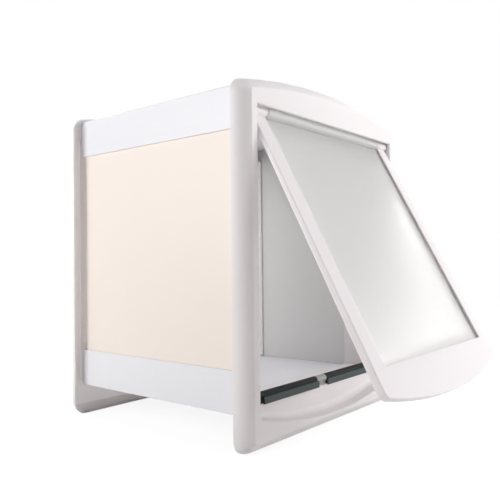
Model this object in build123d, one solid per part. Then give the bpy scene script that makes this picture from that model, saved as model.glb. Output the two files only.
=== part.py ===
from build123d import *
import math
import os

# Dog flap with a wall tunnel: two white moulded frames, a lined tunnel between them,
# and a glazed flap hung in the front frame.
# Millimetres. +X is to the right looking at the front, +Y goes into the wall, +Z is up.
# The pieces are built with the front frame's wall rim at Y = 0 and the frames' lower edges at Z = 0.

# Passage that the animal walks through
PASSAGE_WIDTH = 336.4
PASSAGE_HEIGHT = 375.9
SILL_HEIGHT = 49.8
TUNNEL_LENGTH = 307.0
COLLAR_WALL = 3.0
COLLAR_REACH = 66.0

# Tunnel lining: a channel above, a channel below and a panel on each side
CHANNEL_WEB = 4.0
CHANNEL_FLANGE = 2.0
CHANNEL_FLANGE_HEIGHT = 52.0
CHANNEL_CORNER = 1.5
CHANNEL_INSERTION = 3.0
PANEL_THICKNESS = 3.5
PANEL_END_GAP = 6.5
SLIDE_GAP = 0.3
PANEL_GAP = 0.2

# Frames: how far they lap past the lining, and the soft edge round them
SIDE_LAP = 15.8
TOP_LAP = 1.4
ARCH_RISE = 20.6
FRAME_WALL = 2.6
CORNER_RADIUS = 18.0
HOLLOW_CORNER = 10.0
FRONT_DEPTH = 21.5
FRONT_EDGE_INSET = 14.0
FRONT_EDGE_BULGE = 3.6
FRONT_CREASE_RADIUS = 1.2
REAR_DEPTH = 18.0
REAR_EDGE_INSET = 9.0
REAR_EDGE_BULGE = 1.6

# Dished seat below the passage, where the flap's foot closes
HEADER_DROP = 18.7
SEAT_SETBACK = 2.0
FLAP_SILL_LAP = 24.8
RECESS_GAP = 7.6
RECESS_RISE = 23.0
RECESS_CORNER = 8.0
SEAT_FILLET = 8.0
LIP_CHAMFER = 1.2

# Flap
OPEN_ANGLE = 28.0
AXIS_DROP = 4.8
AXIS_SETBACK = 11.5
KNUCKLE_RADIUS = 6.0
KNUCKLE_OVERHANG = 3.2
BARREL_RADIUS = 7.3
STILE_WIDTH = 22.6
RAIL_HEIGHT = 49.3
LEDGE_WIDTH = 11.0
FLAP_FOOT_RISE = 19.0
FLAP_CORNER = 9.0
FLAP_TOP_THICKNESS = 5.8
FLAP_FOOT_THICKNESS = 10.4
FLAP_FRONT_DRAFT = 0.29
FLAP_FRONT_ROUND = 1.6
FLAP_BACK_CHAMFER = 1.6
GLAZING_THICKNESS = 1.8
GLAZING_SETBACK = 3.0
GLAZING_BITE = 6.0
GROOVE_GAP = 0.1
BARREL_GAP = 0.3

# Hinge
ROD_RADIUS = 2.0
ROD_RUNNING_GAP = 0.05
BUSH_RADIUS = 4.0
BUSH_FIT = 0.05
BUSH_LENGTH = 6.0
BUSH_FLANGE_RADIUS = 5.6
BUSH_FLANGE = 0.9
HINGE_PLAY = 0.5
BOSS_WALL = 2.4
BOSS_END = 1.2
ROD_END_GAP = 0.3

# Sill seals and the magnets that hold the flap shut
SEAL_GAP = 23.0
SEAL_FLANGE_LENGTH = 122.0
SEAL_FLANGE_HEIGHT = 9.0
SEAL_FLANGE_DROP = 1.3
SEAL_FLANGE_THICKNESS = 2.0
SEAL_BULB_RADIUS = 5.5
SEAL_GROOVE = 0.8
SEAL_NECK_HEIGHT = 3.4
SEAL_END_GAP = 0.3
MAGNET_COVER_DEPTH = 7.0
MAGNET_COVER_WALL = 1.2
SILL_MAGNET_HEIGHT = 8.0
FLAP_MAGNET_HEIGHT = 10.0
FLAP_MAGNET_DEPTH = 3.0
MAGNET_FIT = 0.1

# Fasteners
LINING_SCREW_RADIUS = 1.75
LINING_SCREW_HEAD_RADIUS = 3.6
LINING_SCREW_HEAD = 2.2
HEXAGON_SIDES = 6
STANDOFF_WIDTH = 14.0
SCREW_PILOT_GAP = 0.05
SCREW_CLEARANCE = 0.4
WALL_SCREW_SPACING = 160.0
WALL_SCREW_HEIGHT = 24.0
WALL_SCREW_RADIUS = 2.6
WALL_PILLAR_WIDTH = 10.0

# Planes and places that follow from the sizes above
HALF_PASSAGE = PASSAGE_WIDTH / 2
CEILING = SILL_HEIGHT + PASSAGE_HEIGHT
HEADER = CEILING - HEADER_DROP
COLLAR_HALF = HALF_PASSAGE + COLLAR_WALL
COLLAR_FOOT = SILL_HEIGHT - COLLAR_WALL
COLLAR_TOP = CEILING + COLLAR_WALL
REAR_COLLAR_TOP = HEADER + COLLAR_WALL
PANEL_INNER = COLLAR_HALF + SLIDE_GAP
PANEL_OUTER = PANEL_INNER + PANEL_THICKNESS
LINING_HALF = PANEL_OUTER + PANEL_GAP + CHANNEL_FLANGE
LINING_FLOOR = COLLAR_FOOT - SLIDE_GAP
LINING_CEILING = COLLAR_TOP + SLIDE_GAP
LINING_FOOT = LINING_FLOOR - CHANNEL_WEB
LINING_TOP = LINING_CEILING + CHANNEL_WEB
FRAME_HALF = LINING_HALF + SIDE_LAP
FRAME_SIDE = LINING_TOP + TOP_LAP
FRAME_TALL = FRAME_SIDE + ARCH_RISE
ARCH_RADIUS = (FRAME_HALF**2 + ARCH_RISE**2) / (2 * ARCH_RISE)
ARCH_CENTRE = FRAME_TALL - ARCH_RADIUS
FRONT_FACE = -FRONT_DEPTH
FRONT_FACE_BACK = FRONT_FACE + FRAME_WALL
REAR_FACE = TUNNEL_LENGTH + REAR_DEPTH
AXIS_Y = FRONT_FACE + AXIS_SETBACK
AXIS_Z = HEADER - AXIS_DROP
RECESS_FOOT = SILL_HEIGHT - FLAP_SILL_LAP - RECESS_GAP
HALF_FLAP = HALF_PASSAGE - BUSH_FLANGE - HINGE_PLAY
FLAP_LENGTH = AXIS_Z - (SILL_HEIGHT - FLAP_SILL_LAP)
WINDOW_HALF = HALF_FLAP - STILE_WIDTH
WINDOW_FOOT = FLAP_LENGTH - RAIL_HEIGHT
ROD_HALF = HALF_PASSAGE + BUSH_LENGTH - ROD_END_GAP
BARREL_SPAN = WINDOW_HALF - KNUCKLE_OVERHANG
MAGNET_DROP = AXIS_Z - SILL_HEIGHT - SILL_MAGNET_HEIGHT / 2
BULB_Y = SEAT_SETBACK + SEAL_GROOVE + SEAL_BULB_RADIUS
BULB_Z = SILL_HEIGHT + SEAL_FLANGE_HEIGHT - SEAL_FLANGE_DROP
COVER_HALF = SEAL_GAP / 2 - SEAL_END_GAP
SEAT_BACK = SEAT_SETBACK + COLLAR_WALL
WALL_SCREW_TOP = LINING_TOP + WALL_PILLAR_WIDTH / 2
WALL_SCREW_X = (-WALL_SCREW_SPACING / 2, WALL_SCREW_SPACING / 2)
FRONT_SCREW_Y = COLLAR_REACH / 2
REAR_SCREW_Y = TUNNEL_LENGTH - COLLAR_REACH / 2
LINING_END = TUNNEL_LENGTH + CHANNEL_INSERTION
SPARE = 5.0


def block(x0, x1, y0, y1, z0, z1):
    """Box between two corners."""
    return Pos((x0 + x1) / 2, (y0 + y1) / 2, (z0 + z1) / 2) * Box(x1 - x0, y1 - y0, z1 - z0)


def bar_x(radius, x0, x1, y, z):
    """Round bar along X."""
    return Pos((x0 + x1) / 2, y, z) * Rot(Y=90) * Cylinder(radius, x1 - x0)


def bar_y(radius, x, y0, y1, z):
    """Round bar along Y."""
    return Pos(x, (y0 + y1) / 2, z) * Rot(X=90) * Cylinder(radius, y1 - y0)


def bar_z(radius, x, y, z0, z1):
    """Round bar along Z."""
    return Pos(x, y, (z0 + z1) / 2) * Cylinder(radius, z1 - z0)


def soft_edge(start, end, bulge):
    """Shallow arc from start to end that swells to the right of that line."""
    (x0, y0), (x1, y1) = start, end
    length = math.hypot(x1 - x0, y1 - y0)
    across, along = bulge * (y1 - y0) / length, bulge * (x1 - x0) / length
    return ThreePointArc(start, ((x0 + x1) / 2 + across, (y0 + y1) / 2 - along), end)


def clip_prism(points, depth):
    """Prism through the full depth of a frame, from a closed outline in X and Z."""
    return extrude(Plane.XZ * make_face(Polyline(*points, close=True)), amount=depth + SPARE, both=True)


def edge_section(reach, far, depth, edge_inset, bulge):
    """Section of a frame in Y and Z: soft edge at the reach, plain end at the far side."""
    rim, face = (0, reach), (-depth, reach + edge_inset)
    far_rim, far_face = (0, far), (-depth, far)
    outline = [soft_edge(face, rim, bulge), Line(rim, far_rim), Line(far_rim, far_face), Line(far_face, face)]
    return Plane.YZ * make_face(outline)


def mitred_body(inset, depth, edge_inset, bulge):
    """Solid of a frame with mitred corners, wall rim at Y = 0 and face at Y = -depth."""
    half = FRAME_HALF - inset
    corners = ((-half, 0), (-half + edge_inset, -depth), (half - edge_inset, -depth), (half, 0))
    plan = make_face([
        soft_edge(corners[0], corners[1], bulge),
        Line(corners[1], corners[2]),
        soft_edge(corners[2], corners[3], bulge),
        Line(corners[3], corners[0]),
    ])
    sides = extrude(plan, amount=FRAME_TALL, dir=(0, 0, 1))
    foot = extrude(edge_section(inset, FRAME_TALL, depth, edge_inset, bulge), amount=FRAME_HALF, both=True)
    disc = edge_section(ARCH_CENTRE - ARCH_RADIUS + inset, ARCH_CENTRE, depth, edge_inset, bulge)
    crown = revolve(disc, axis=Axis((0, 0, ARCH_CENTRE), (0, 1, 0)))
    return sides & foot & crown


def moulded_body(depth, edge_inset, bulge):
    """Outside of a frame, whose soft edge sweeps round the corners."""
    body = mitred_body(0, depth, edge_inset, bulge)
    x, far = FRAME_HALF - CORNER_RADIUS, FRAME_HALF + SPARE
    shoulder = ARCH_CENTRE + math.sqrt((ARCH_RADIUS - CORNER_RADIUS) ** 2 - x**2)
    lean = x / (shoulder - ARCH_CENTRE)
    for z, tip, slope in ((CORNER_RADIUS, -SPARE, 0), (shoulder, FRAME_TALL + SPARE, lean)):
        section = edge_section(z - CORNER_RADIUS, z, depth, edge_inset, bulge)
        plug = revolve(section, axis=Axis((0, 0, z), (0, 1, 0)))
        for side in (-1, 1):
            start, end = (side * x, z), (side * (x + slope * (tip - z)), tip)
            wedge = clip_prism((start, (side * far, z), (side * far, tip), end), depth)
            body = body - wedge + (Pos(side * x, 0, 0) * plug & wedge)
    return body


def hollow_body(depth, edge_inset, bulge):
    """Room inside a frame, open to the wall, with its corners cut off."""
    half, cut = FRAME_HALF - FRAME_WALL, FRAME_HALF - FRAME_WALL - HOLLOW_CORNER
    crown = ARCH_CENTRE + math.sqrt((ARCH_RADIUS - FRAME_WALL) ** 2 - cut**2)
    low, high = FRAME_WALL + HOLLOW_CORNER, crown - HOLLOW_CORNER
    right = [(cut, FRAME_WALL), (half, low), (half, high), (cut, crown), (cut, FRAME_TALL)]
    left = [(-x, z) for x, z in reversed(right)]
    return mitred_body(FRAME_WALL, depth - FRAME_WALL, edge_inset, bulge) & clip_prism(right + left, depth)


def collar(y0, y1, top):
    """Sleeve round the passage, solid until the passage is cut."""
    return block(-COLLAR_HALF, COLLAR_HALF, y0, y1, COLLAR_FOOT, top)


def lining_pilots(y):
    """Pilot holes for the two screws that hold the lining's channels to a collar."""
    return bar_z(LINING_SCREW_RADIUS + SCREW_PILOT_GAP, 0, y, LINING_FLOOR - SPARE, LINING_CEILING + SPARE)


def dished_prism(half, foot, rise, top, y0, y1):
    """Prism along Y whose lower side is a shallow arc, lowest in the middle."""
    left, right = (-half, foot + rise), (half, foot + rise)
    outline = [
        ThreePointArc(left, (0, foot), right),
        Line(right, (half, top)),
        Line((half, top), (-half, top)),
        Line((-half, top), left),
    ]
    return Pos(0, y0, 0) * extrude(Plane.XZ * make_face(outline), amount=y1 - y0, dir=(0, 1, 0))


def lower_corners(solid):
    """Edges along Y at the two lower corners of a dished prism."""
    along = solid.edges().filter_by(Axis.Y)
    return along.sort_by(Axis.Z)[:2]


def front_frame():
    """Moulded frame with an arched head, soft edges, a dished seat for the flap's foot and a collar."""
    tray_foot = RECESS_FOOT - COLLAR_WALL
    tray = dished_prism(COLLAR_HALF, tray_foot, RECESS_RISE, SILL_HEIGHT, FRONT_FACE_BACK, SEAT_BACK)
    outside = moulded_body(FRONT_DEPTH, FRONT_EDGE_INSET, FRONT_EDGE_BULGE)
    outside = fillet(outside.faces().sort_by(Axis.Y)[0].edges(), FRONT_CREASE_RADIUS)
    frame = outside - hollow_body(FRONT_DEPTH, FRONT_EDGE_INSET, FRONT_EDGE_BULGE) + tray
    frame += collar(FRONT_FACE_BACK, COLLAR_REACH, COLLAR_TOP)
    boss_radius = BUSH_RADIUS + BUSH_FIT + BOSS_WALL
    for side in (-1, 1):
        inner, outer = sorted((side * HALF_PASSAGE, side * (HALF_PASSAGE + BUSH_LENGTH + BOSS_END)))
        frame += bar_x(boss_radius, inner, outer, AXIS_Y, AXIS_Z)
    top, clear = SILL_HEIGHT + SPARE, FRONT_FACE - SPARE
    recess = dished_prism(HALF_PASSAGE, RECESS_FOOT, RECESS_RISE, top, clear, SEAT_SETBACK)
    recess = fillet(lower_corners(recess), RECESS_CORNER)
    seat_outline = recess.faces().sort_by(Axis.Y)[-1].edges()
    frame -= fillet(seat_outline.filter_by(lambda e: e.center().Z < SILL_HEIGHT), SEAT_FILLET)
    collar_end = COLLAR_REACH + SPARE
    frame -= block(-HALF_PASSAGE, HALF_PASSAGE, clear, collar_end, SILL_HEIGHT, HEADER)
    frame -= block(-HALF_PASSAGE, HALF_PASSAGE, FRONT_FACE_BACK, collar_end, SILL_HEIGHT, CEILING)
    face = frame.faces().sort_by(Axis.Y)[0]
    frame = chamfer(face.inner_wires()[0].edges(), LIP_CHAMFER)
    for side in (-1, 1):
        inner, outer = sorted((side * (HALF_PASSAGE - SPARE), side * (HALF_PASSAGE + BUSH_LENGTH)))
        frame -= bar_x(BUSH_RADIUS + BUSH_FIT, inner, outer, AXIS_Y, AXIS_Z)
    return frame - lining_pilots(FRONT_SCREW_Y)


def rear_frame():
    """Plain moulded frame for the wall's other face: a collar, screw pillars and a lining standoff."""
    shell = moulded_body(REAR_DEPTH, REAR_EDGE_INSET, REAR_EDGE_BULGE)
    shell -= hollow_body(REAR_DEPTH, REAR_EDGE_INSET, REAR_EDGE_BULGE)
    frame = Pos(0, TUNNEL_LENGTH, 0) * Rot(Z=180) * shell
    collar_end, inside = TUNNEL_LENGTH - COLLAR_REACH, REAR_FACE - FRAME_WALL
    frame += collar(collar_end, inside, REAR_COLLAR_TOP)
    half = STANDOFF_WIDTH / 2
    frame += block(-half, half, REAR_SCREW_Y - half, REAR_SCREW_Y + half, HEADER, COLLAR_TOP)
    places = [(x, z) for x in WALL_SCREW_X for z in (WALL_SCREW_HEIGHT, WALL_SCREW_TOP)]
    half = WALL_PILLAR_WIDTH / 2
    for x, z in places:
        frame += block(x - half, x + half, LINING_END + SLIDE_GAP, inside, z - half, z + half)
    frame -= block(-HALF_PASSAGE, HALF_PASSAGE, collar_end - SPARE, REAR_FACE + SPARE, SILL_HEIGHT, HEADER)
    for x, z in places:
        frame -= bar_y(WALL_SCREW_RADIUS, x, TUNNEL_LENGTH, REAR_FACE + SPARE, z)
    return frame - lining_pilots(REAR_SCREW_Y)


def lining_channel(z_web, z_flange_tip):
    """Channel whose flanges lap the side panels' edges; z_web is the outer face of its web."""
    inward = math.copysign(1, z_flange_tip - z_web)
    y0, y1 = -CHANNEL_INSERTION, LINING_END
    low, high = sorted((z_web, z_flange_tip))
    body = block(-LINING_HALF, LINING_HALF, y0, y1, low, high)
    corners = body.edges().filter_by(Axis.Y).sort_by(lambda e: abs(e.center().Z - z_web))
    body = fillet(corners[:2], CHANNEL_CORNER)
    low, high = sorted((z_web + inward * CHANNEL_WEB, z_flange_tip + inward * SPARE))
    inner = LINING_HALF - CHANNEL_FLANGE
    body -= block(-inner, inner, y0 - SPARE, y1 + SPARE, low, high)
    low, high = sorted((z_web - inward * SPARE, z_web + inward * (CHANNEL_WEB + SPARE)))
    radius = LINING_SCREW_RADIUS + SCREW_CLEARANCE
    return body - [bar_z(radius, 0, y, low, high) for y in (FRONT_SCREW_Y, REAR_SCREW_Y)]


def bottom_channel():
    """Lower channel, notched at the front round the back of the flap's seat."""
    y0, y1 = -CHANNEL_INSERTION - SPARE, SEAT_BACK + SLIDE_GAP
    notch = block(-PANEL_INNER, PANEL_INNER, y0, y1, LINING_FOOT - SPARE, LINING_FLOOR + SPARE)
    return lining_channel(LINING_FOOT, LINING_FOOT + CHANNEL_FLANGE_HEIGHT) - notch


def side_panel(side):
    """Flat lining panel that stands in the two channels."""
    x0, x1 = sorted((side * PANEL_INNER, side * PANEL_OUTER))
    z0, z1 = LINING_FLOOR + PANEL_GAP, LINING_CEILING - PANEL_GAP
    return block(x0, x1, PANEL_END_GAP, TUNNEL_LENGTH - PANEL_END_GAP, z0, z1)


def lining_screw(y, z_web, z_tip):
    """Hexagon head screw from a channel's web into a collar."""
    outward = math.copysign(1, z_web - z_tip)
    hexagon = RegularPolygon(LINING_SCREW_HEAD_RADIUS, HEXAGON_SIDES)
    head = extrude(hexagon, amount=LINING_SCREW_HEAD, dir=(0, 0, outward))
    return Pos(0, y, z_web) * head + bar_z(LINING_SCREW_RADIUS, 0, y, *sorted((z_web, z_tip)))


def flap_outline(y0, y1):
    """Prism of the flap's outline: straight sides, a bowed foot and rounded lower corners."""
    prism = dished_prism(HALF_FLAP, -FLAP_LENGTH, FLAP_FOOT_RISE, 0, y0, y1)
    return fillet(lower_corners(prism), FLAP_CORNER)


def flap_frame():
    """White moulding of the flap, upright with its axis at the origin: knuckles, stiles and a bowed foot."""
    beyond = FLAP_FOOT_THICKNESS + SPARE
    body = flap_outline(0, beyond)
    front_rim = body.faces().sort_by(Axis.Y)[0].edges()
    body = fillet(front_rim.filter_by(lambda e: e.center().Z < -SPARE), FLAP_FRONT_ROUND)
    corners = ((0, 0), (0, -FLAP_LENGTH), (FLAP_FOOT_THICKNESS, -FLAP_LENGTH), (FLAP_TOP_THICKNESS, 0))
    body &= extrude(Plane.YZ * make_face(Polyline(*corners, close=True)), amount=HALF_FLAP, both=True)
    back_rim = body.faces().sort_by(Axis.Y)[-1].edges()
    body = chamfer(back_rim.filter_by(lambda e: e.center().Z < -SPARE), FLAP_BACK_CHAMFER)
    groove_front = GLAZING_SETBACK - GROOVE_GAP
    groove_back = GLAZING_SETBACK + GLAZING_THICKNESS + GROOVE_GAP
    body -= block(-WINDOW_HALF, WINDOW_HALF, -SPARE, groove_back, -WINDOW_FOOT, SPARE)
    groove_half = WINDOW_HALF + GLAZING_BITE + GROOVE_GAP
    groove_foot = WINDOW_FOOT + GLAZING_BITE + GROOVE_GAP
    body -= block(-groove_half, groove_half, groove_front, groove_back, -groove_foot, -KNUCKLE_RADIUS)
    ledge_half, ledge_foot = WINDOW_HALF - LEDGE_WIDTH, WINDOW_FOOT - LEDGE_WIDTH
    body -= block(-ledge_half, ledge_half, groove_front, beyond, -ledge_foot, SPARE)
    for side in (-1, 1):
        body += bar_x(KNUCKLE_RADIUS, *sorted((side * BARREL_SPAN, side * HALF_FLAP)), 0, 0)
    body -= bar_x(BARREL_RADIUS + BARREL_GAP, -BARREL_SPAN, BARREL_SPAN, 0, 0)
    body -= bar_x(ROD_RADIUS + ROD_RUNNING_GAP, -HALF_FLAP - SPARE, HALF_FLAP + SPARE, 0, 0)
    return body - flap_magnet(MAGNET_FIT)


def back_of_flap(drop):
    """Y of the upright flap's back face at a distance below the axis."""
    return FLAP_TOP_THICKNESS + (FLAP_FOOT_THICKNESS - FLAP_TOP_THICKNESS) * drop / FLAP_LENGTH


def flap_magnet(margin=0.0):
    """Bar magnet let into the back of the foot rail, or its pocket with a margin."""
    back = back_of_flap(MAGNET_DROP - FLAP_MAGNET_HEIGHT / 2)
    half, tall = COVER_HALF + margin, FLAP_MAGNET_HEIGHT / 2 + margin
    reach = back + SPARE if margin else back
    return block(-half, half, back - FLAP_MAGNET_DEPTH, reach, -MAGNET_DROP - tall, -MAGNET_DROP + tall)


def flap_panel():
    """Clear glazing with a rolled barrel along its top, held in the stiles' grooves."""
    half = WINDOW_HALF + GLAZING_BITE
    y0, y1 = GLAZING_SETBACK, GLAZING_SETBACK + GLAZING_THICKNESS
    shoulder = -KNUCKLE_RADIUS - BARREL_GAP
    sheet = block(-half, half, y0, y1, -WINDOW_FOOT - GLAZING_BITE, shoulder)
    barrel_half = BARREL_SPAN - BARREL_GAP
    sheet += block(-barrel_half, barrel_half, y0, y1, shoulder, 0)
    sheet += bar_x(BARREL_RADIUS, -barrel_half, barrel_half, 0, 0)
    return sheet - bar_x(ROD_RADIUS + ROD_RUNNING_GAP, -half - SPARE, half + SPARE, 0, 0)


def hinge_rod():
    """Steel rod through the knuckles and the barrel, with its ends in the bushes."""
    return bar_x(ROD_RADIUS, -ROD_HALF, ROD_HALF, 0, 0)


def hinge_bush(side):
    """Flanged plastic bush pressed into a boss of the front frame."""
    span = sorted((side * HALF_PASSAGE, side * (HALF_PASSAGE + BUSH_LENGTH)))
    flange = sorted((side * (HALF_PASSAGE - BUSH_FLANGE), side * HALF_PASSAGE))
    bush = bar_x(BUSH_RADIUS, *span, AXIS_Y, AXIS_Z) + bar_x(BUSH_FLANGE_RADIUS, *flange, AXIS_Y, AXIS_Z)
    bore = sorted((side * (HALF_PASSAGE - SPARE), side * (HALF_PASSAGE + BUSH_LENGTH + SPARE)))
    return bush - bar_x(ROD_RADIUS + ROD_RUNNING_GAP, *bore, AXIS_Y, AXIS_Z)


def sill_seal(side):
    """Extruded rubber seal on one half of the sill: a necked bulb, and a flange over the sill's edge."""
    inner = SEAL_GAP / 2
    bulb_x = sorted((side * inner, side * (HALF_PASSAGE - SEAL_END_GAP)))
    seal = bar_x(SEAL_BULB_RADIUS, *bulb_x, BULB_Y, BULB_Z)
    seal += block(*bulb_x, SEAT_SETBACK, BULB_Y, SILL_HEIGHT, SILL_HEIGHT + SEAL_NECK_HEIGHT)
    flange_x = sorted((side * inner, side * (inner + SEAL_FLANGE_LENGTH)))
    flange_front = SEAT_SETBACK - SEAL_FLANGE_THICKNESS
    return seal + block(*flange_x, flange_front, SEAT_SETBACK, SILL_HEIGHT - SEAL_FLANGE_DROP, BULB_Z)


def sill_magnet(margin=0.0):
    """Block magnet on the sill between the two seals, or its room in the cover with a margin."""
    half = COVER_HALF - MAGNET_COVER_WALL - MAGNET_FIT + margin
    deep = MAGNET_COVER_DEPTH / 2 - MAGNET_COVER_WALL - MAGNET_FIT + margin
    top = SILL_HEIGHT + SILL_MAGNET_HEIGHT + margin
    return block(-half, half, BULB_Y - deep, BULB_Y + deep, SILL_HEIGHT, top)


def sill_magnet_cover():
    """Plastic cap over the sill magnet, open below; its round top carries on the line of the seals' bulbs."""
    deep = MAGNET_COVER_DEPTH / 2
    body = block(-COVER_HALF, COVER_HALF, BULB_Y - deep, BULB_Y + deep, SILL_HEIGHT, BULB_Z)
    body += bar_x(SEAL_BULB_RADIUS, -COVER_HALF, COVER_HALF, BULB_Y, BULB_Z)
    return body - sill_magnet(MAGNET_FIT)


def hang(piece):
    """Turns a flap piece about the hinge to the open angle and hangs it on the axis."""
    return Pos(0, AXIS_Y, AXIS_Z) * Rot(X=-(OPEN_ANGLE + FLAP_FRONT_DRAFT)) * piece


PIECES = {
    "front_frame": front_frame(),
    "rear_frame": rear_frame(),
    "tunnel_top_channel": lining_channel(LINING_TOP, LINING_TOP - CHANNEL_FLANGE_HEIGHT),
    "tunnel_bottom_channel": bottom_channel(),
    "tunnel_left_panel": side_panel(-1),
    "tunnel_right_panel": side_panel(1),
    "hinge_bush_left": hinge_bush(-1),
    "hinge_bush_right": hinge_bush(1),
    "sill_seal_left": sill_seal(-1),
    "sill_seal_right": sill_seal(1),
    "sill_magnet": sill_magnet(),
    "sill_magnet_cover": sill_magnet_cover(),
    "flap_frame": hang(flap_frame()),
    "flap_panel": hang(flap_panel()),
    "hinge_rod": hang(hinge_rod()),
    "flap_magnet": hang(flap_magnet()),
}

for end, y in (("front", FRONT_SCREW_Y), ("rear", REAR_SCREW_Y)):
    for level, z_web, z_tip in (("top", LINING_TOP, CEILING), ("bottom", LINING_FOOT, SILL_HEIGHT)):
        PIECES[f"lining_screw_{end}_{level}"] = lining_screw(y, z_web, z_tip)

# The origin is under the middle of the whole object, on the surface it stands on.
reach = [piece.bounding_box() for piece in PIECES.values()]
MIDDLE_Y = (min(box.min.Y for box in reach) + max(box.max.Y for box in reach)) / 2

os.makedirs("parts", exist_ok=True)
for name, piece in PIECES.items():
    export_step(Pos(0, -MIDDLE_Y, 0) * piece, f"parts/{name}.step")
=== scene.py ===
"""Dresses the dog flap with a wall tunnel.

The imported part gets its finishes, its screws and seals are rebuilt in full, and a studio and a
camera are set round it. A length is in millimetres or metres, as the end of its name says.
"""

from __future__ import annotations

import logging
import math
from dataclasses import dataclass
from enum import Enum

import bpy
from mathutils import Matrix, Vector

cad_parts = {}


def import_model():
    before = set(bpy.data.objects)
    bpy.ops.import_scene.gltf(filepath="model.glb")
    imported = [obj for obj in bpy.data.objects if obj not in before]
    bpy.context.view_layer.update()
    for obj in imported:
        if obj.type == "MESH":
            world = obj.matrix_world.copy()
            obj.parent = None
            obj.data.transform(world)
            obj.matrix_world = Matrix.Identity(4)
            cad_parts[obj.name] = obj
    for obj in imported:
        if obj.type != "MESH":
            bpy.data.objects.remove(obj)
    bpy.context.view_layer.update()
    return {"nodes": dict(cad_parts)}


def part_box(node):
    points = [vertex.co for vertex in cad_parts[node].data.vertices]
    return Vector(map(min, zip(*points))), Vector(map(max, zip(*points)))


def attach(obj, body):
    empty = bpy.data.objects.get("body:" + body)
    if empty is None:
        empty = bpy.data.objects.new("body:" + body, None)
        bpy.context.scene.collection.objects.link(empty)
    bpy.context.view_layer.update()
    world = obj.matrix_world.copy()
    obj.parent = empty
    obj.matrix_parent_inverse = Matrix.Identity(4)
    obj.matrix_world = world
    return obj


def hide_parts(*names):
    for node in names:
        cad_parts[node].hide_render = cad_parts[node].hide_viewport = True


LOG = logging.getLogger("dog_flap")
METRE_MM = 1000.0
WELD_M = 1e-6

# The sRGB curve: a straight foot up to the knee, then a power
BYTE_MAX = 255.0
SRGB_KNEE = 0.04045
SRGB_SLOPE = 12.92
SRGB_OFFSET = 0.055
SRGB_POWER = 2.4

# Octaves of the finest noises, and rays that soften an edge
FINE_DETAIL = 3.0
EDGE_SAMPLES = 6

Tree = bpy.types.NodeTree
Socket = bpy.types.NodeSocket


class Body(Enum):
    """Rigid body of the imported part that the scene's own pieces ride on."""

    HOUSING = "housing"


class Slot(Enum):
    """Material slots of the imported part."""

    STEEL = "steel"
    RUBBER = "seal_rubber"


def linear(colour: str) -> tuple[float, float, float, float]:
    """Turns an sRGB hex colour into the linear colour that a shader takes.

    Args:
        colour: six hex digits after a hash sign.

    Returns:
        Red, green and blue in linear light, and an alpha of one.
    """
    channels = []
    for place in (1, 3, 5):
        level = int(colour[place : place + 2], 16) / BYTE_MAX
        power = ((level + SRGB_OFFSET) / (1.0 + SRGB_OFFSET)) ** SRGB_POWER
        channels.append(level / SRGB_SLOPE if level <= SRGB_KNEE else power)
    red, green, blue = channels
    return red, green, blue, 1.0


def add_node(tree: Tree, kind: str, inputs: dict | None = None, **settings) -> bpy.types.Node:
    """Adds a node with its settings, and sets or links its inputs.

    Args:
        tree: node tree that gets the node.
        kind: class name of the node.
        inputs: input name or number, to a value, another node's output or a list of outputs.
        **settings: attributes of the node, such as its operation.

    Returns:
        The new node.
    """
    node = tree.nodes.new(kind)
    for name, value in settings.items():
        setattr(node, name, value)
    for name, value in (inputs or {}).items():
        links = value if isinstance(value, list) else [value]
        if isinstance(links[0], Socket):
            for link in links:
                tree.links.new(link, node.inputs[name])
        else:
            node.inputs[name].default_value = value
    return node


def new_material(name: str) -> tuple[bpy.types.Material, Tree]:
    """Makes an empty node material.

    Args:
        name: name of the material.

    Returns:
        The material and its node tree.
    """
    material = bpy.data.materials.new(name)
    material.use_nodes = True
    material.node_tree.nodes.clear()
    return material, material.node_tree


def new_recipe(name: str, inputs: dict[str, str]) -> tuple[Tree, bpy.types.Node]:
    """Makes an empty geometry tree with named inputs.

    Args:
        name: name of the tree.
        inputs: label of each input, to its socket type.

    Returns:
        The tree and the node that holds its inputs.
    """
    tree = bpy.data.node_groups.new(name, "GeometryNodeTree")
    for label, kind in inputs.items():
        tree.interface.new_socket(name=label, in_out="INPUT", socket_type=kind)
    tree.interface.new_socket(
        name="Geometry", in_out="OUTPUT", socket_type="NodeSocketGeometry"
    )
    return tree, add_node(tree, "NodeGroupInput")


def close_recipe(tree: Tree, shape: Socket, material: Socket) -> None:
    """Ends a geometry tree with real geometry in one material.

    Args:
        tree: tree to end.
        shape: the geometry that it has made.
        material: the tree's material input.
    """
    real = add_node(tree, "GeometryNodeRealizeInstances", {"Geometry": shape})
    dressed = add_node(
        tree,
        "GeometryNodeSetMaterial",
        {"Geometry": real.outputs["Geometry"], "Material": material},
    )
    add_node(tree, "NodeGroupOutput", {"Geometry": dressed.outputs["Geometry"]})


def bake(name: str, start: bpy.types.Mesh, tree: Tree, values: dict) -> bpy.types.Object:
    """Runs a geometry tree once and keeps its result as a plain mesh at the origin.

    Args:
        name: name of the new piece.
        start: mesh that the tree starts from.
        tree: the geometry tree.
        values: label of an input, to its value.

    Returns:
        The finished piece.
    """
    piece = bpy.data.objects.new(name, start)
    bpy.context.scene.collection.objects.link(piece)
    modifier = piece.modifiers.new("recipe", "NODES")
    modifier.node_group = tree
    for item in tree.interface.items_tree:
        if item.in_out == "INPUT" and item.name in values:
            modifier[item.identifier] = values[item.name]
    depsgraph = bpy.context.evaluated_depsgraph_get()
    mesh = bpy.data.meshes.new_from_object(piece.evaluated_get(depsgraph), depsgraph=depsgraph)
    piece.modifiers.remove(modifier)
    piece.data = mesh
    mesh.name = name
    LOG.info("%s built with %d faces", name, len(mesh.polygons))
    return piece


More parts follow.
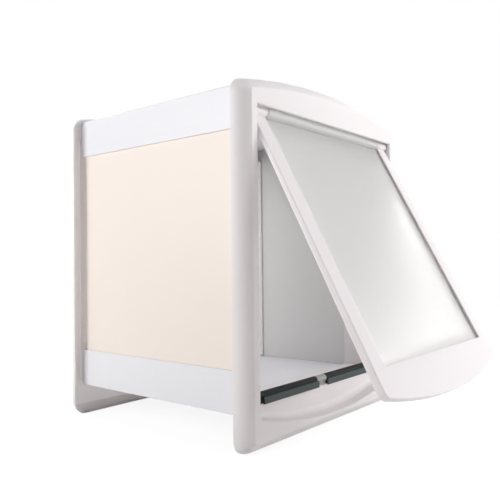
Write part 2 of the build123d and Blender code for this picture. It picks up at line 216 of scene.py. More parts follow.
@dataclass(frozen=True)
class Finish:
    """A real material with the surface that its making leaves; each kind adds its own nodes."""

    name: str

    def surface(self, tree: Tree, place: Socket) -> Socket:
        """Adds the nodes of the surface.

        Args:
            tree: node tree of the material.
            place: its object coordinates.

        Returns:
            The shader's output.
        """
        raise NotImplementedError

    def material(self) -> bpy.types.Material:
        """Builds the node material.

        Returns:
            The finished material.
        """
        material, tree = new_material(self.name)
        place = add_node(tree, "ShaderNodeTexCoord").outputs["Object"]
        surface = self.surface(tree, place)
        add_node(tree, "ShaderNodeOutputMaterial", {"Surface": surface})
        return material


@dataclass(frozen=True)
class MouldedPlastic(Finish):
    """Injection moulded ABS: an even pinkish white, satin from the tool, softly broken edges."""

    colour: str
    shade: str
    roughness: float = 0.5
    roughness_spread: float = 0.05
    mottle_mm: float = 70.0
    # The tool's grain is finer than this, and is drawn as coarse as it needs to show
    grain_mm: float = 1.4
    grain_relief_mm: float = 0.012
    edge_mm: float = 0.8
    ior: float = 1.53
    # White plastic lets light through, so thin walls glow: how much, how deep, and by channel
    glow: float = 0.5
    glow_mm: float = 4.0
    glow_spread: tuple[float, float, float] = (1.0, 0.94, 0.9)

    def surface(self, tree: Tree, place: Socket) -> Socket:
        """Adds the nodes of the surface.

        Args:
            tree: node tree of the material.
            place: its object coordinates.

        Returns:
            The shader's output.
        """
        mottle = add_node(
            tree, "ShaderNodeTexNoise", {"Vector": place, "Scale": METRE_MM / self.mottle_mm}
        )
        tone = add_node(
            tree,
            "ShaderNodeMix",
            {
                "Factor": mottle.outputs["Fac"],
                "A": linear(self.colour),
                "B": linear(self.shade),
            },
            data_type="RGBA",
        )
        grain = add_node(
            tree,
            "ShaderNodeTexNoise",
            {"Vector": place, "Scale": METRE_MM / self.grain_mm, "Detail": FINE_DETAIL},
        ).outputs["Fac"]
        satin = add_node(
            tree,
            "ShaderNodeMapRange",
            {
                "Value": grain,
                "To Min": self.roughness - self.roughness_spread,
                "To Max": self.roughness + self.roughness_spread,
            },
        )
        edge = add_node(
            tree, "ShaderNodeBevel", {"Radius": self.edge_mm / METRE_MM}, samples=EDGE_SAMPLES
        )
        relief = add_node(
            tree,
            "ShaderNodeBump",
            {
                "Height": grain,
                "Distance": self.grain_relief_mm / METRE_MM,
                "Normal": edge.outputs["Normal"],
            },
        )
        shader = add_node(
            tree,
            "ShaderNodeBsdfPrincipled",
            {
                "Base Color": tone.outputs["Result"],
                "Roughness": satin.outputs["Result"],
                "IOR": self.ior,
                "Subsurface Weight": self.glow,
                "Subsurface Radius": self.glow_spread,
                "Subsurface Scale": self.glow_mm / METRE_MM,
                "Normal": relief.outputs["Normal"],
            },
        )
        return shader.outputs["BSDF"]


@dataclass(frozen=True)
class ExtrudedPlastic(Finish):
    """Extruded PVC: a cool white with faint draw lines along the tunnel, from the die."""

    colour: str
    shade: str
    roughness: float = 0.36
    # Draw lines are closer than this, and are drawn as coarse as they need to show
    line_mm: float = 2.2
    line_run_mm: float = 500.0
    line_relief_mm: float = 0.02
    edge_mm: float = 0.6
    ior: float = 1.54

    def surface(self, tree: Tree, place: Socket) -> Socket:
        """Adds the nodes of the surface.

        Args:
            tree: node tree of the material.
            place: its object coordinates.

        Returns:
            The shader's output.
        """
        across, along = METRE_MM / self.line_mm, METRE_MM / self.line_run_mm
        drawn = add_node(
            tree, "ShaderNodeMapping", {"Vector": place, "Scale": (across, along, across)}
        )
        lines = add_node(
            tree, "ShaderNodeTexNoise", {"Vector": drawn.outputs["Vector"], "Scale": 1.0}
        ).outputs["Fac"]
        tone = add_node(
            tree,
            "ShaderNodeMix",
            {"Factor": lines, "A": linear(self.colour), "B": linear(self.shade)},
            data_type="RGBA",
        )
        edge = add_node(
            tree, "ShaderNodeBevel", {"Radius": self.edge_mm / METRE_MM}, samples=EDGE_SAMPLES
        )
        relief = add_node(
            tree,
            "ShaderNodeBump",
            {
                "Height": lines,
                "Distance": self.line_relief_mm / METRE_MM,
                "Normal": edge.outputs["Normal"],
            },
        )
        shader = add_node(
            tree,
            "ShaderNodeBsdfPrincipled",
            {
                "Base Color": tone.outputs["Result"],
                "Roughness": self.roughness,
                "IOR": self.ior,
                "Normal": relief.outputs["Normal"],
            },
        )
        return shader.outputs["BSDF"]


@dataclass(frozen=True)
class FacedSheet(Finish):
    """Rigid PVC sheet: a smooth cream face outside the tunnel and a darker grey-white inside."""

    face: str
    inside_tone: str
    middle_mm: float
    roughness: float = 0.4
    roughness_spread: float = 0.03
    cloud_mm: float = 120.0
    edge_mm: float = 0.4
    ior: float = 1.54

    def surface(self, tree: Tree, place: Socket) -> Socket:
        """Adds the nodes of the surface.

        Args:
            tree: node tree of the material.
            place: its object coordinates.

        Returns:
            The shader's output.
        """
        sideways = add_node(tree, "ShaderNodeSeparateXYZ", {"Vector": place}).outputs["X"]
        reach = add_node(tree, "ShaderNodeMath", {0: sideways}, operation="ABSOLUTE")
        outside = add_node(
            tree,
            "ShaderNodeMath",
            {0: reach.outputs[0], 1: self.middle_mm / METRE_MM},
            operation="GREATER_THAN",
        )
        tone = add_node(
            tree,
            "ShaderNodeMix",
            {"Factor": outside.outputs[0], "A": linear(self.inside_tone), "B": linear(self.face)},
            data_type="RGBA",
        )
        cloud = add_node(
            tree, "ShaderNodeTexNoise", {"Vector": place, "Scale": METRE_MM / self.cloud_mm}
        )
        satin = add_node(
            tree,
            "ShaderNodeMapRange",
            {
                "Value": cloud.outputs["Fac"],
                "To Min": self.roughness - self.roughness_spread,
                "To Max": self.roughness + self.roughness_spread,
            },
        )
        edge = add_node(
            tree, "ShaderNodeBevel", {"Radius": self.edge_mm / METRE_MM}, samples=EDGE_SAMPLES
        )
        shader = add_node(
            tree,
            "ShaderNodeBsdfPrincipled",
            {
                "Base Color": tone.outputs["Result"],
                "Roughness": satin.outputs["Result"],
                "IOR": self.ior,
                "Normal": edge.outputs["Normal"],
            },
        )
        return shader.outputs["BSDF"]


@dataclass(frozen=True)
class FrostedGlazing(Finish):
    """Frosted polycarbonate: what stands behind it is a blur, and a thick roll in it is milky."""

    colour: str
    roll_at_mm: tuple[float, float] = (0.0, 0.0)
    roll_radius_mm: float = 0.0
    roll_blend_mm: float = 1.5
    roll_roughness: float = 0.5
    roll_transmission: float = 0.7
    roughness: float = 0.32
    transmission: float = 0.92
    # The frost is finer than this, and is drawn as coarse as it needs to show
    frost_mm: float = 1.2
    frost_relief_mm: float = 0.02
    ior: float = 1.585

    def roll(self, tree: Tree, place: Socket) -> dict[str, Socket]:
        """Adds the nodes that make the roll milky, by the distance from its axis.

        Args:
            tree: node tree of the material.
            place: its object coordinates.

        Returns:
            Name of each shader input that changes on the roll, to the output that drives it.
        """
        depth_mm, level_mm = self.roll_at_mm
        axis = (0.0, depth_mm / METRE_MM, level_mm / METRE_MM)
        offset = add_node(tree, "ShaderNodeVectorMath", {0: place, 1: axis}, operation="SUBTRACT")
        flat = add_node(
            tree,
            "ShaderNodeVectorMath",
            {0: offset.outputs[0], 1: (0.0, 1.0, 1.0)},
            operation="MULTIPLY",
        )
        reach = add_node(tree, "ShaderNodeVectorMath", {0: flat.outputs[0]}, operation="LENGTH")
        span = {
            "Value": reach.outputs["Value"],
            "From Min": self.roll_radius_mm / METRE_MM,
            "From Max": (self.roll_radius_mm + self.roll_blend_mm) / METRE_MM,
        }
        changes = {
            "Roughness": (self.roll_roughness, self.roughness),
            "Transmission Weight": (self.roll_transmission, self.transmission),
        }
        driven = {}
        for name, (on_roll, on_sheet) in changes.items():
            blend = add_node(
                tree, "ShaderNodeMapRange", span | {"To Min": on_roll, "To Max": on_sheet}
            )
            driven[name] = blend.outputs["Result"]
        return driven

    def surface(self, tree: Tree, place: Socket) -> Socket:
        """Adds the nodes of the surface.

        Args:
            tree: node tree of the material.
            place: its object coordinates.

        Returns:
            The shader's output.
        """
        frost = add_node(
            tree, "ShaderNodeTexNoise", {"Vector": place, "Scale": METRE_MM / self.frost_mm}
        )
        relief = add_node(
            tree,
            "ShaderNodeBump",
            {"Height": frost.outputs["Fac"], "Distance": self.frost_relief_mm / METRE_MM},
        )
        sheet = {
            "Base Color": linear(self.colour),
            "Roughness": self.roughness,
            "IOR": self.ior,
            "Transmission Weight": self.transmission,
            "Normal": relief.outputs["Normal"],
        }
        rolled = self.roll(tree, place) if self.roll_radius_mm > 0.0 else {}
        return add_node(tree, "ShaderNodeBsdfPrincipled", sheet | rolled).outputs["BSDF"]


@dataclass(frozen=True)
class ExtrudedRubber(Finish):
    """Two rubbers extruded as one: a slate grey flange and a near black bulb, with die lines."""

    flange: str
    bulb: str
    joint_mm: float
    roughness: float = 0.6
    specular: float = 0.3
    # Die lines are closer than this, and are drawn as coarse as they need to show
    line_mm: float = 0.9
    line_run_mm: float = 160.0
    line_depth: float = 0.12
    line_relief_mm: float = 0.03
    ior: float = 1.5

    def surface(self, tree: Tree, place: Socket) -> Socket:
        """Adds the nodes of the surface.

        Args:
            tree: node tree of the material.
            place: its object coordinates.

        Returns:
            The shader's output.
        """
        across, along = METRE_MM / self.line_mm, METRE_MM / self.line_run_mm
        drawn = add_node(
            tree, "ShaderNodeMapping", {"Vector": place, "Scale": (along, across, across)}
        )
        lines = add_node(
            tree, "ShaderNodeTexNoise", {"Vector": drawn.outputs["Vector"], "Scale": 1.0}
        ).outputs["Fac"]
        depth = add_node(tree, "ShaderNodeSeparateXYZ", {"Vector": place}).outputs["Y"]
        behind = add_node(
            tree,
            "ShaderNodeMath",
            {0: depth, 1: self.joint_mm / METRE_MM},
            operation="GREATER_THAN",
        )
        rubbers = add_node(
            tree,
            "ShaderNodeMix",
            {"Factor": behind.outputs[0], "A": linear(self.flange), "B": linear(self.bulb)},
            data_type="RGBA",
        )
        dulled = add_node(
            tree,
            "ShaderNodeMapRange",
            {"Value": lines, "To Min": 1.0 - self.line_depth, "To Max": 1.0 + self.line_depth},
        )
        tone = add_node(
            tree,
            "ShaderNodeMix",
            {"Factor": 1.0, "A": rubbers.outputs["Result"], "B": dulled.outputs["Result"]},
            data_type="RGBA",
            blend_type="MULTIPLY",
        )
        relief = add_node(
            tree,
            "ShaderNodeBump",
            {"Height": lines, "Distance": self.line_relief_mm / METRE_MM},
        )
        shader = add_node(
            tree,
            "ShaderNodeBsdfPrincipled",
            {
                "Base Color": tone.outputs["Result"],
                "Roughness": self.roughness,
                "IOR": self.ior,
                "Specular IOR Level": self.specular,
                "Normal": relief.outputs["Normal"],
            },
        )
        return shader.outputs["BSDF"]


@dataclass(frozen=True)
class PlatedSteel(Finish):
    """Zinc or nickel plated steel: a bright grey metal, a little cloudy from the bath."""

    colour: str
    roughness: float = 0.34
    roughness_spread: float = 0.1
    cloud_mm: float = 3.0

    def surface(self, tree: Tree, place: Socket) -> Socket:
        """Adds the nodes of the surface.

        Args:
            tree: node tree of the material.
            place: its object coordinates.

        Returns:
            The shader's output.
        """
        cloud = add_node(
            tree,
            "ShaderNodeTexNoise",
            {"Vector": place, "Scale": METRE_MM / self.cloud_mm, "Detail": FINE_DETAIL},
        )
        rough = add_node(
            tree,
            "ShaderNodeMapRange",
            {
                "Value": cloud.outputs["Fac"],
                "To Min": self.roughness - self.roughness_spread,
                "To Max": self.roughness + self.roughness_spread,
            },
        )
        shader = add_node(
            tree,
            "ShaderNodeBsdfPrincipled",
            {
                "Base Color": linear(self.colour),
                "Metallic": 1.0,
                "Roughness": rough.outputs["Result"],
            },
        )
        return shader.outputs["BSDF"]


WHITE_ABS = MouldedPlastic("moulded_white_abs", "#F1ECED", "#EDE9EA")
FLAP_ABS = MouldedPlastic("moulded_white_flap", "#F1EBED", "#EEE9EB")
# More light comes through the rear moulding, and its colour is painted paler than the front's: both
# keep its hollow pale
REAR_ABS_PAINTED_PALE = MouldedPlastic("moulded_white_rear_painted_pale", "#F6F0F0", "#F4EEEE", glow=0.8, glow_mm=10.0)
WHITE_PVC = ExtrudedPlastic("extruded_white_pvc", "#EFEFF3", "#ECECF1")
SMOKED_COVER = FrostedGlazing("smoked_magnet_cover", "#A9ABA8", transmission=0.2)
ZINC_STEEL = PlatedSteel("zinc_plated_steel", "#C4C6C8")
GROUND_STEEL = PlatedSteel("ground_steel", "#C8C9CA")
NICKEL = PlatedSteel("nickelled_magnet", "#B7B6B2")


@dataclass
class SubAssembly:
    """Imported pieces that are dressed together."""

    nodes: dict[str, bpy.types.Object]

    def dress(self, names: list[str], material: bpy.types.Material) -> None:
        """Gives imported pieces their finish.

        Args:
            names: pieces to dress.
            material: their finish.
        """
        for name in names:
            mesh = self.nodes[name].data
            mesh.materials.clear()
            mesh.materials.append(material)
            LOG.info("%s dressed in %s", name, material.name)

    def build(self) -> None:
        """Builds and dresses the sub-assembly."""
        raise NotImplementedError


@dataclass
class Frames(SubAssembly):
    """The two moulded frames, with the bushes in the front one."""

    def build(self) -> None:
        """Dresses the mouldings in white plastic."""
        self.dress(["front_frame", "hinge_bush_left", "hinge_bush_right"], WHITE_ABS.material())
        # The rear moulding wears the paler copy: painted light in its hollow
        self.dress(["rear_frame"], REAR_ABS_PAINTED_PALE.material())


@dataclass
class TunnelLining(SubAssembly):
    """Channels above and below, and the faced sheets that stand between them."""

    face: str = "#F6EBE2"
    inside_tone: str = "#DCDCDB"

    def build(self) -> None:
        """Dresses the channels and the sheets."""
        self.dress(["tunnel_top_channel", "tunnel_bottom_channel"], WHITE_PVC.material())
        low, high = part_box("tunnel_right_panel")
        middle_mm = (low.x + high.x) / 2 * METRE_MM
        sheet = FacedSheet("cream_faced_pvc", self.face, self.inside_tone, middle_mm)
        self.dress(["tunnel_left_panel", "tunnel_right_panel"], sheet.material())


@dataclass
class LiningScrews(SubAssembly):
    """Hexagon washer-head screws that hold the lining's channels to the collars."""

    head_radius_mm: float = 3.6
    head_mm: float = 2.2
    head_sides: int = 6
    crown_mm: float = 0.5
    washer_radius_mm: float = 4.6
    washer_mm: float = 0.5
    washer_sides: int = 48
    shank_radius_mm: float = 1.6
    shank_mm: float = 7.2
    shank_sides: int = 24
    thread_pitch_mm: float = 1.3
    thread_mm: float = 0.16
    thread_sides: int = 4
    thread_steps: int = 20

    def places(self, packed: list[str]) -> list[tuple[Vector, float]]:
        """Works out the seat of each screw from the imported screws.

        Args:
            packed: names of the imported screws.

        Returns:
            Centre of each seat, in metres, and one for a head that looks up, minus one for down.
        """
        seats = []
        for name in packed:
            low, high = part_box(name)
            upward = 1.0 if name.endswith("top") else -1.0
            level = (high.z if upward > 0 else low.z) - upward * self.head_mm / METRE_MM
            seats.append((Vector(((low.x + high.x) / 2, (low.y + high.y) / 2, level)), upward))
        return seats

    def sizes(self) -> dict[str, float]:
        """Works out the recipe's sizes.

        Returns:
            Label of each size, to its length in metres, or to a count for the turns.
        """
        lengths = {
            "Head Radius": self.head_radius_mm,
            "Head": self.head_mm - self.crown_mm,
            "Crown Radius": self.head_radius_mm - self.crown_mm,
            "Crown": self.crown_mm,
            "Washer Radius": self.washer_radius_mm,
            "Washer": self.washer_mm,
            "Shank Radius": self.shank_radius_mm,
            "Shank": self.shank_mm,
            "Thread": self.thread_mm,
        }
        metres = {label: length / METRE_MM for label, length in lengths.items()}
        return metres | {"Turns": self.shank_mm / self.thread_pitch_mm}

    def recipe(self) -> Tree:
        """Builds the geometry tree: one screw with its washer and thread, set on every seat.

        Returns:
            The geometry tree.
        """
        inputs = {"Geometry": "NodeSocketGeometry", "Material": "NodeSocketMaterial"}
        inputs |= dict.fromkeys(self.sizes(), "NodeSocketFloat")
        tree, given = new_recipe("lining_screws", inputs)
        size = given.outputs
        cones = {
            "washer": (self.washer_sides, "Head Radius", "Washer Radius", "Washer"),
            "head": (self.head_sides, "Head Radius", "Head Radius", "Head"),
            "crown": (self.head_sides, "Crown Radius", "Head Radius", "Crown"),
            "shank": (self.shank_sides, "Shank Radius", "Shank Radius", "Shank"),
        }
        solid = {}
        for part, (sides, top, bottom, depth) in cones.items():
            cone = add_node(
                tree,
                "GeometryNodeMeshCone",
                {
                    "Vertices": sides,
                    "Radius Top": size[top],
                    "Radius Bottom": size[bottom],
                    "Depth": size[depth],
                },
            )
            solid[part] = cone.outputs["Mesh"]
        lift = add_node(tree, "ShaderNodeCombineXYZ", {"Z": size["Head"]})
        crown = add_node(
            tree,
            "GeometryNodeTransform",
            {"Geometry": solid["crown"], "Translation": lift.outputs["Vector"]},
        )
        helix = add_node(
            tree,
            "GeometryNodeCurveSpiral",
            {
                "Resolution": self.thread_steps,
                "Rotations": size["Turns"],
                "Start Radius": size["Shank Radius"],
                "End Radius": size["Shank Radius"],
                "Height": size["Shank"],
            },
        )
        ridge = add_node(
            tree,
            "GeometryNodeCurvePrimitiveCircle",
            {"Resolution": self.thread_sides, "Radius": size["Thread"]},
        )
        thread = add_node(
            tree,
            "GeometryNodeCurveToMesh",
            {
                "Curve": helix.outputs["Curve"],
                "Profile Curve": ridge.outputs["Curve"],
                "Fill Caps": True,
            },
        )
        stem = add_node(
            tree,
            "GeometryNodeJoinGeometry",
            {"Geometry": [solid["shank"], thread.outputs["Mesh"]]},
        )
        below = add_node(tree, "ShaderNodeMath", {0: size["Shank"], 1: -1.0}, operation="MULTIPLY")
        drop = add_node(tree, "ShaderNodeCombineXYZ", {"Z": below.outputs[0]})
        stem = add_node(
            tree,
            "GeometryNodeTransform",
            {"Geometry": stem.outputs["Geometry"], "Translation": drop.outputs["Vector"]},
        )
        parts = [
            solid["washer"],
            solid["head"],
            crown.outputs["Geometry"],
            stem.outputs["Geometry"],
        ]
        screw = add_node(tree, "GeometryNodeJoinGeometry", {"Geometry": parts})
        turn = add_node(
            tree, "GeometryNodeInputNamedAttribute", {"Name": "turn"}, data_type="FLOAT"
        )
        tilt = add_node(tree, "ShaderNodeCombineXYZ", {"X": turn.outputs["Attribute"]})
        spread = add_node(
            tree,
            "GeometryNodeInstanceOnPoints",
            {
                "Points": size["Geometry"],
                "Instance": screw.outputs["Geometry"],
                "Rotation": tilt.outputs["Vector"],
            },
        )
        close_recipe(tree, spread.outputs["Instances"], size["Material"])
        return tree

    def build(self) -> None:
        """Sets a screw on every seat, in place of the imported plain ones."""
        steel = ZINC_STEEL.material()
        packed = [name for name in self.nodes if name.startswith("lining_screw")]
        self.dress(packed, steel)
        seats = self.places(packed)
        points = bpy.data.meshes.new("lining_screws")
        points.from_pydata([seat for seat, _ in seats], [], [])
        turns = points.attributes.new("turn", "FLOAT", "POINT")
        turns.data.foreach_set("value", [0.0 if upward > 0 else math.pi for _, upward in seats])
        values = self.sizes() | {"Material": steel}
        screws = bake("lining_screws", points, self.recipe(), values)
        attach(screws, Body.HOUSING.value)
        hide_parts(*packed)


@dataclass
class SillSeals(SubAssembly):
    """Rubber seals on the sill, each a hollow bulb, neck and flange, and the magnet between."""

    bulb_radius_mm: float = 5.5
    bulb_wall_mm: float = 1.2
    bulb_sides: int = 48
    neck_mm: float = 3.4
    flange_mm: float = 2.0
    flange_round_mm: float = 0.7
    flange_round_steps: int = 6
    flange_run_mm: float = 122.0
    flange_colour: str = "#454F4E"
    bulb_colour: str = "#0C1413"

    def strip(
        self,
        tree: Tree,
        size: bpy.types.bpy_prop_collection,
        section: Socket,
        part: str,
        run: str,
    ) -> Socket:
        """Adds the nodes that extrude a closed section along the sill.

        Args:
            tree: geometry tree of the seal.
            size: the tree's inputs.
            section: closed curves of the section, with depth along X and height along Y.
            part: first word of the inputs that hold the section's depth and level.
            run: first word of the inputs that hold the strip's start and run.

        Returns:
            The closed strip, in place.
        """
        middle = add_node(
            tree, "ShaderNodeCombineXYZ", {"X": size[f"{part} Depth"], "Y": size[f"{part} Level"]}
        )
        moved = add_node(
            tree,
            "GeometryNodeTransform",
            {"Geometry": section, "Translation": middle.outputs["Vector"]},
        )
        face = add_node(
            tree, "GeometryNodeFillCurve", {"Curve": moved.outputs["Geometry"]}
        ).outputs["Mesh"]
        length = add_node(tree, "ShaderNodeCombineXYZ", {"Z": size[f"{run} Run"]})
        side = add_node(
            tree,
            "GeometryNodeExtrudeMesh",
            {"Mesh": face, "Offset": length.outputs["Vector"], "Individual": False},
        )
        back = add_node(tree, "GeometryNodeFlipFaces", {"Mesh": face})
        closed = add_node(
            tree,
            "GeometryNodeJoinGeometry",
            {"Geometry": [side.outputs["Mesh"], back.outputs["Mesh"]]},
        )
        welded = add_node(
            tree,
            "GeometryNodeMergeByDistance",
            {"Geometry": closed.outputs["Geometry"], "Distance": WELD_M},
        )
        start = add_node(tree, "ShaderNodeCombineXYZ", {"X": size[f"{run} Start"]})
        laid = add_node(
            tree,
            "GeometryNodeTransform",
            {
                "Geometry": welded.outputs["Geometry"],
                "Translation": start.outputs["Vector"],
                "Rotation": (math.pi / 2, 0.0, math.pi / 2),
            },
        )
        return laid.outputs["Geometry"]

    def recipe(self, sizes: dict[str, float]) -> Tree:
        """Builds the geometry tree of one seal from its section.

        Args:
            sizes: label of each size of a seal.

        Returns:
            The geometry tree.
        """
        inputs = {"Material": "NodeSocketMaterial"} | dict.fromkeys(sizes, "NodeSocketFloat")
        tree, given = new_recipe("sill_seal", inputs)
        size = given.outputs
        rings = []
        for radius in ("Bulb Radius", "Bore Radius"):
            ring = add_node(
                tree,
                "GeometryNodeCurvePrimitiveCircle",
                {"Resolution": self.bulb_sides, "Radius": size[radius]},
            )
            rings.append(ring.outputs["Curve"])
        bulb = add_node(tree, "GeometryNodeJoinGeometry", {"Geometry": rings})
        neck = add_node(
            tree,
            "GeometryNodeCurvePrimitiveQuadrilateral",
            {"Width": size["Neck Width"], "Height": size["Neck Height"]},
        )
        flange = add_node(
            tree,
            "GeometryNodeCurvePrimitiveQuadrilateral",
            {"Width": size["Flange Width"], "Height": size["Flange Height"]},
        )
        soft = add_node(
            tree,
            "GeometryNodeFilletCurve",
            {
                "Curve": flange.outputs["Curve"],
                "Radius": size["Flange Round"],
                "Count": self.flange_round_steps,
            },
            mode="POLY",
        )
        strips = [
            self.strip(tree, size, bulb.outputs["Geometry"], "Bulb", "Bulb"),
            self.strip(tree, size, neck.outputs["Curve"], "Neck", "Bulb"),
            self.strip(tree, size, soft.outputs["Curve"], "Flange", "Flange"),
        ]
        joined = add_node(tree, "GeometryNodeJoinGeometry", {"Geometry": strips})
        close_recipe(tree, joined.outputs["Geometry"], size["Material"])
        return tree

    def sizes_of(self, name: str) -> dict[str, float]:
        """Works out a seal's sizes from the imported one's box.

        Args:
            name: packed seal.

        Returns:
            The recipe's sizes, in metres.
        """
        low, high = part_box(name)
        radius, flange = self.bulb_radius_mm / METRE_MM, self.flange_mm / METRE_MM
        bulb_depth, bulb_level = high.y - radius, high.z - radius
        flange_back = low.y + flange
        flange_run = self.flange_run_mm / METRE_MM
        neck_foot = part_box("sill_magnet")[0].z
        neck = self.neck_mm / METRE_MM
        return {
            "Bulb Start": low.x,
            "Bulb Run": high.x - low.x,
            "Flange Start": low.x if low.x > 0 else high.x - flange_run,
            "Flange Run": flange_run,
            "Bulb Depth": bulb_depth,
            "Bulb Level": bulb_level,
            "Bulb Radius": radius,
            "Bore Radius": radius - self.bulb_wall_mm / METRE_MM,
            "Neck Depth": (flange_back + bulb_depth) / 2,
            "Neck Level": neck_foot + neck / 2,
            "Neck Width": bulb_depth - flange_back,
            "Neck Height": neck,
            "Flange Depth": low.y + flange / 2,
            "Flange Level": (low.z + bulb_level) / 2,
            "Flange Width": flange,
            "Flange Height": bulb_level - low.z,
            "Flange Round": self.flange_round_mm / METRE_MM,
        }

    def build(self) -> None:
        """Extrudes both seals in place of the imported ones, and dresses the magnet and its cover."""
        joint_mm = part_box("sill_seal_left")[0].y * METRE_MM + self.flange_mm
        finish = ExtrudedRubber(
            "coextruded_rubber", self.flange_colour, self.bulb_colour, joint_mm
        )
        rubber = finish.material()
        tree = self.recipe(self.sizes_of("sill_seal_left"))
        for name in ("sill_seal_left", "sill_seal_right"):
            self.dress([name], rubber)
            start = bpy.data.meshes.new(name + "_section")
            values = self.sizes_of(name) | {"Material": rubber}
            seal = bake(name + "_extrusion", start, tree, values)
            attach(seal, Body.HOUSING.value)
            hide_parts(name)
        self.dress(["sill_magnet"], NICKEL.material())
        self.dress(["sill_magnet_cover"], SMOKED_COVER.material())


@dataclass
class Flap(SubAssembly):
    """The glazed flap with its hinge rod and magnet."""

    roll_radius_mm: float = 9.0
    glazing_colour: str = "#FBFAF9"

    def build(self) -> None:
        """Dresses the moulding, the glazing, the rod and the magnet."""
        self.dress(["flap_frame"], FLAP_ABS.material())
        low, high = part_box("hinge_rod")
        axis = (low + high) / 2 * METRE_MM
        sheet = FrostedGlazing(
            "frosted_polycarbonate", self.glazing_colour, (axis.y, axis.z), self.roll_radius_mm
        )
        self.dress(["flap_panel"], sheet.material())
        self.dress(["hinge_rod", "flap_magnet"], GROUND_STEEL.material())


@dataclass(frozen=True)
class Softbox:
    """One rectangular softbox, placed by its bearing from the part's front towards its left."""

    name: str
    bearing_deg: float
    rise_deg: float
    distance_m: float
    width_m: float
    height_m: float
    watts: float
    target_m: tuple[float, float, float] = (0.0, 0.0, 0.22)

    def hang(self) -> None:
        """Hangs the softbox, facing its target."""
        bearing, rise = math.radians(self.bearing_deg), math.radians(self.rise_deg)
        level = math.cos(rise)
        away = Vector((-math.sin(bearing) * level, -math.cos(bearing) * level, math.sin(rise)))
        data = bpy.data.lights.new(self.name, "AREA")
        data.shape = "RECTANGLE"
        data.size, data.size_y = self.width_m, self.height_m
        data.energy = self.watts
        lamp = bpy.data.objects.new(self.name, data)
        lamp.location = Vector(self.target_m) + away * self.distance_m
        lamp.rotation_mode = "QUATERNION"
        lamp.rotation_quaternion = (-away).to_track_quat("-Z", "Y")
        bpy.context.scene.collection.objects.link(lamp)


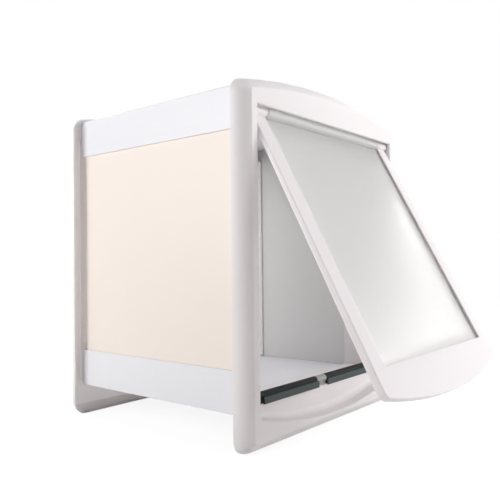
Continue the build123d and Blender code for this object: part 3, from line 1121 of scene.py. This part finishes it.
@dataclass
class Studio:
    """White studio round the part, and the camera at the photograph's view."""

    camera_mm: tuple[float, float, float] = (-711.86, -521.55, 225.31)
    yaw_deg: float = -50.65
    pitch_deg: float = 0.92
    roll_deg: float = -0.62
    focal_px: float = 600.5
    image_px: float = 500.0
    sensor_mm: float = 36.0
    clip_near_m: float = 0.01
    clip_far_m: float = 50.0
    # What the camera sees: a plain background, and a floor that pales to it and keeps a shadow
    background: str = "#FFFFFF"
    floor_half_m: float = 6.0
    floor_near_m: float = 0.5
    floor_far_m: float = 1.4
    floor_glow: float = 0.86
    shadow_colour: str = "#8A8A8A"
    # What lights the part: the floor's own colour, a little ambient light and the softboxes
    floor_colour: str = "#F4F2F1"
    ambient_colour: str = "#F6F5F7"
    ambient: float = 0.02
    softboxes: tuple[Softbox, ...] = (
        Softbox("left_softbox", 112.0, 17.0, 1.45, 1.0, 0.8, 12.0),
        Softbox("front_softbox", -34.0, 7.0, 1.5, 1.2, 0.75, 10.2),
        Softbox("high_softbox", -16.0, 42.0, 1.45, 1.0, 0.8, 7.8),
        Softbox("right_softbox", -108.0, 22.0, 1.45, 1.0, 0.8, 6.2),
        Softbox("back_softbox", -174.0, 20.0, 1.45, 1.0, 1.0, 10.8),
        Softbox("top_softbox", 40.0, 75.0, 1.45, 1.2, 1.2, 2.4),
    )

    def camera(self) -> None:
        """Places the camera."""
        data = bpy.data.cameras.new("camera")
        data.sensor_width = self.sensor_mm
        data.lens = self.focal_px / self.image_px * self.sensor_mm
        data.clip_start, data.clip_end = self.clip_near_m, self.clip_far_m
        yaw, pitch, roll = (
            math.radians(angle) for angle in (self.yaw_deg, self.pitch_deg, self.roll_deg)
        )
        ahead = math.cos(pitch)
        forward = Vector((-math.sin(yaw) * ahead, math.cos(yaw) * ahead, math.sin(pitch)))
        level = Vector((math.cos(yaw), math.sin(yaw), 0.0))
        upright = level.cross(forward)
        right = math.cos(roll) * level + math.sin(roll) * upright
        up = -math.sin(roll) * level + math.cos(roll) * upright
        camera = bpy.data.objects.new("camera", data)
        turn = Matrix((right, up, -forward)).transposed().to_4x4()
        camera.matrix_world = Matrix.Translation(Vector(self.camera_mm) / METRE_MM) @ turn
        bpy.context.scene.collection.objects.link(camera)
        bpy.context.scene.camera = camera

    def seen_white(self, tree: Tree) -> Socket:
        """Adds a mask of the rays that should meet a plain white background.

        Args:
            tree: node tree of the world or the floor.

        Returns:
            One for camera, glossy and transmission rays.
        """
        path = add_node(tree, "ShaderNodeLightPath").outputs
        mask = path["Is Camera Ray"]
        for ray in ("Is Glossy Ray", "Is Transmission Ray"):
            either = add_node(tree, "ShaderNodeMath", {0: mask, 1: path[ray]}, operation="MAXIMUM")
            mask = either.outputs[0]
        return mask

    def world(self) -> None:
        """Fills the surroundings with an even pale light, seen as white."""
        world = bpy.data.worlds.new("studio")
        world.use_nodes = True
        tree = world.node_tree
        tree.nodes.clear()
        fill = add_node(
            tree,
            "ShaderNodeBackground",
            {"Color": linear(self.ambient_colour), "Strength": self.ambient},
        )
        white = add_node(
            tree, "ShaderNodeBackground", {"Color": linear(self.background), "Strength": 1.0}
        )
        mix = add_node(
            tree,
            "ShaderNodeMixShader",
            {0: self.seen_white(tree), 1: fill.outputs[0], 2: white.outputs[0]},
        )
        add_node(tree, "ShaderNodeOutputWorld", {"Surface": mix.outputs[0]})
        bpy.context.scene.world = world

    def floor(self) -> None:
        """Lays the pale floor, which keeps a faint shadow."""
        half = self.floor_half_m
        corners = [(-half, -half, 0), (half, -half, 0), (half, half, 0), (-half, half, 0)]
        mesh = bpy.data.meshes.new("floor")
        mesh.from_pydata(corners, [], [(0, 1, 2, 3)])
        material, tree = new_material("studio_floor")
        pale = add_node(tree, "ShaderNodeBsdfDiffuse", {"Color": linear(self.floor_colour)})
        place = add_node(tree, "ShaderNodeTexCoord").outputs["Object"]
        away = add_node(tree, "ShaderNodeVectorMath", {0: place}, operation="LENGTH")
        fade = add_node(
            tree,
            "ShaderNodeMapRange",
            {
                "Value": away.outputs["Value"],
                "From Min": self.floor_near_m,
                "From Max": self.floor_far_m,
                "To Min": self.floor_glow,
            },
        )
        glow = add_node(
            tree,
            "ShaderNodeEmission",
            {"Color": linear(self.background), "Strength": fade.outputs["Result"]},
        )
        shadow = add_node(tree, "ShaderNodeBsdfDiffuse", {"Color": linear(self.shadow_colour)})
        seen = add_node(tree, "ShaderNodeAddShader", {0: glow.outputs[0], 1: shadow.outputs[0]})
        mix = add_node(
            tree,
            "ShaderNodeMixShader",
            {0: self.seen_white(tree), 1: pale.outputs[0], 2: seen.outputs[0]},
        )
        add_node(tree, "ShaderNodeOutputMaterial", {"Surface": mix.outputs[0]})
        mesh.materials.append(material)
        floor = bpy.data.objects.new("floor", mesh)
        bpy.context.scene.collection.objects.link(floor)

    def build(self) -> None:
        """Builds the floor, the surroundings, the softboxes and the camera."""
        self.floor()
        self.world()
        for softbox in self.softboxes:
            softbox.hang()
        self.camera()
        bpy.context.scene.view_settings.view_transform = "Standard"
        LOG.info("studio ready")


def main() -> None:
    """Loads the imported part, dresses it and sets the studio round it."""
    logging.basicConfig(level=logging.INFO, format="%(name)s: %(message)s")
    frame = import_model()
    nodes = frame["nodes"]
    for sub_assembly in (Frames, TunnelLining, LiningScrews, SillSeals, Flap):
        sub_assembly(nodes).build()
    Studio().build()


if __name__ == "__main__":
    main()
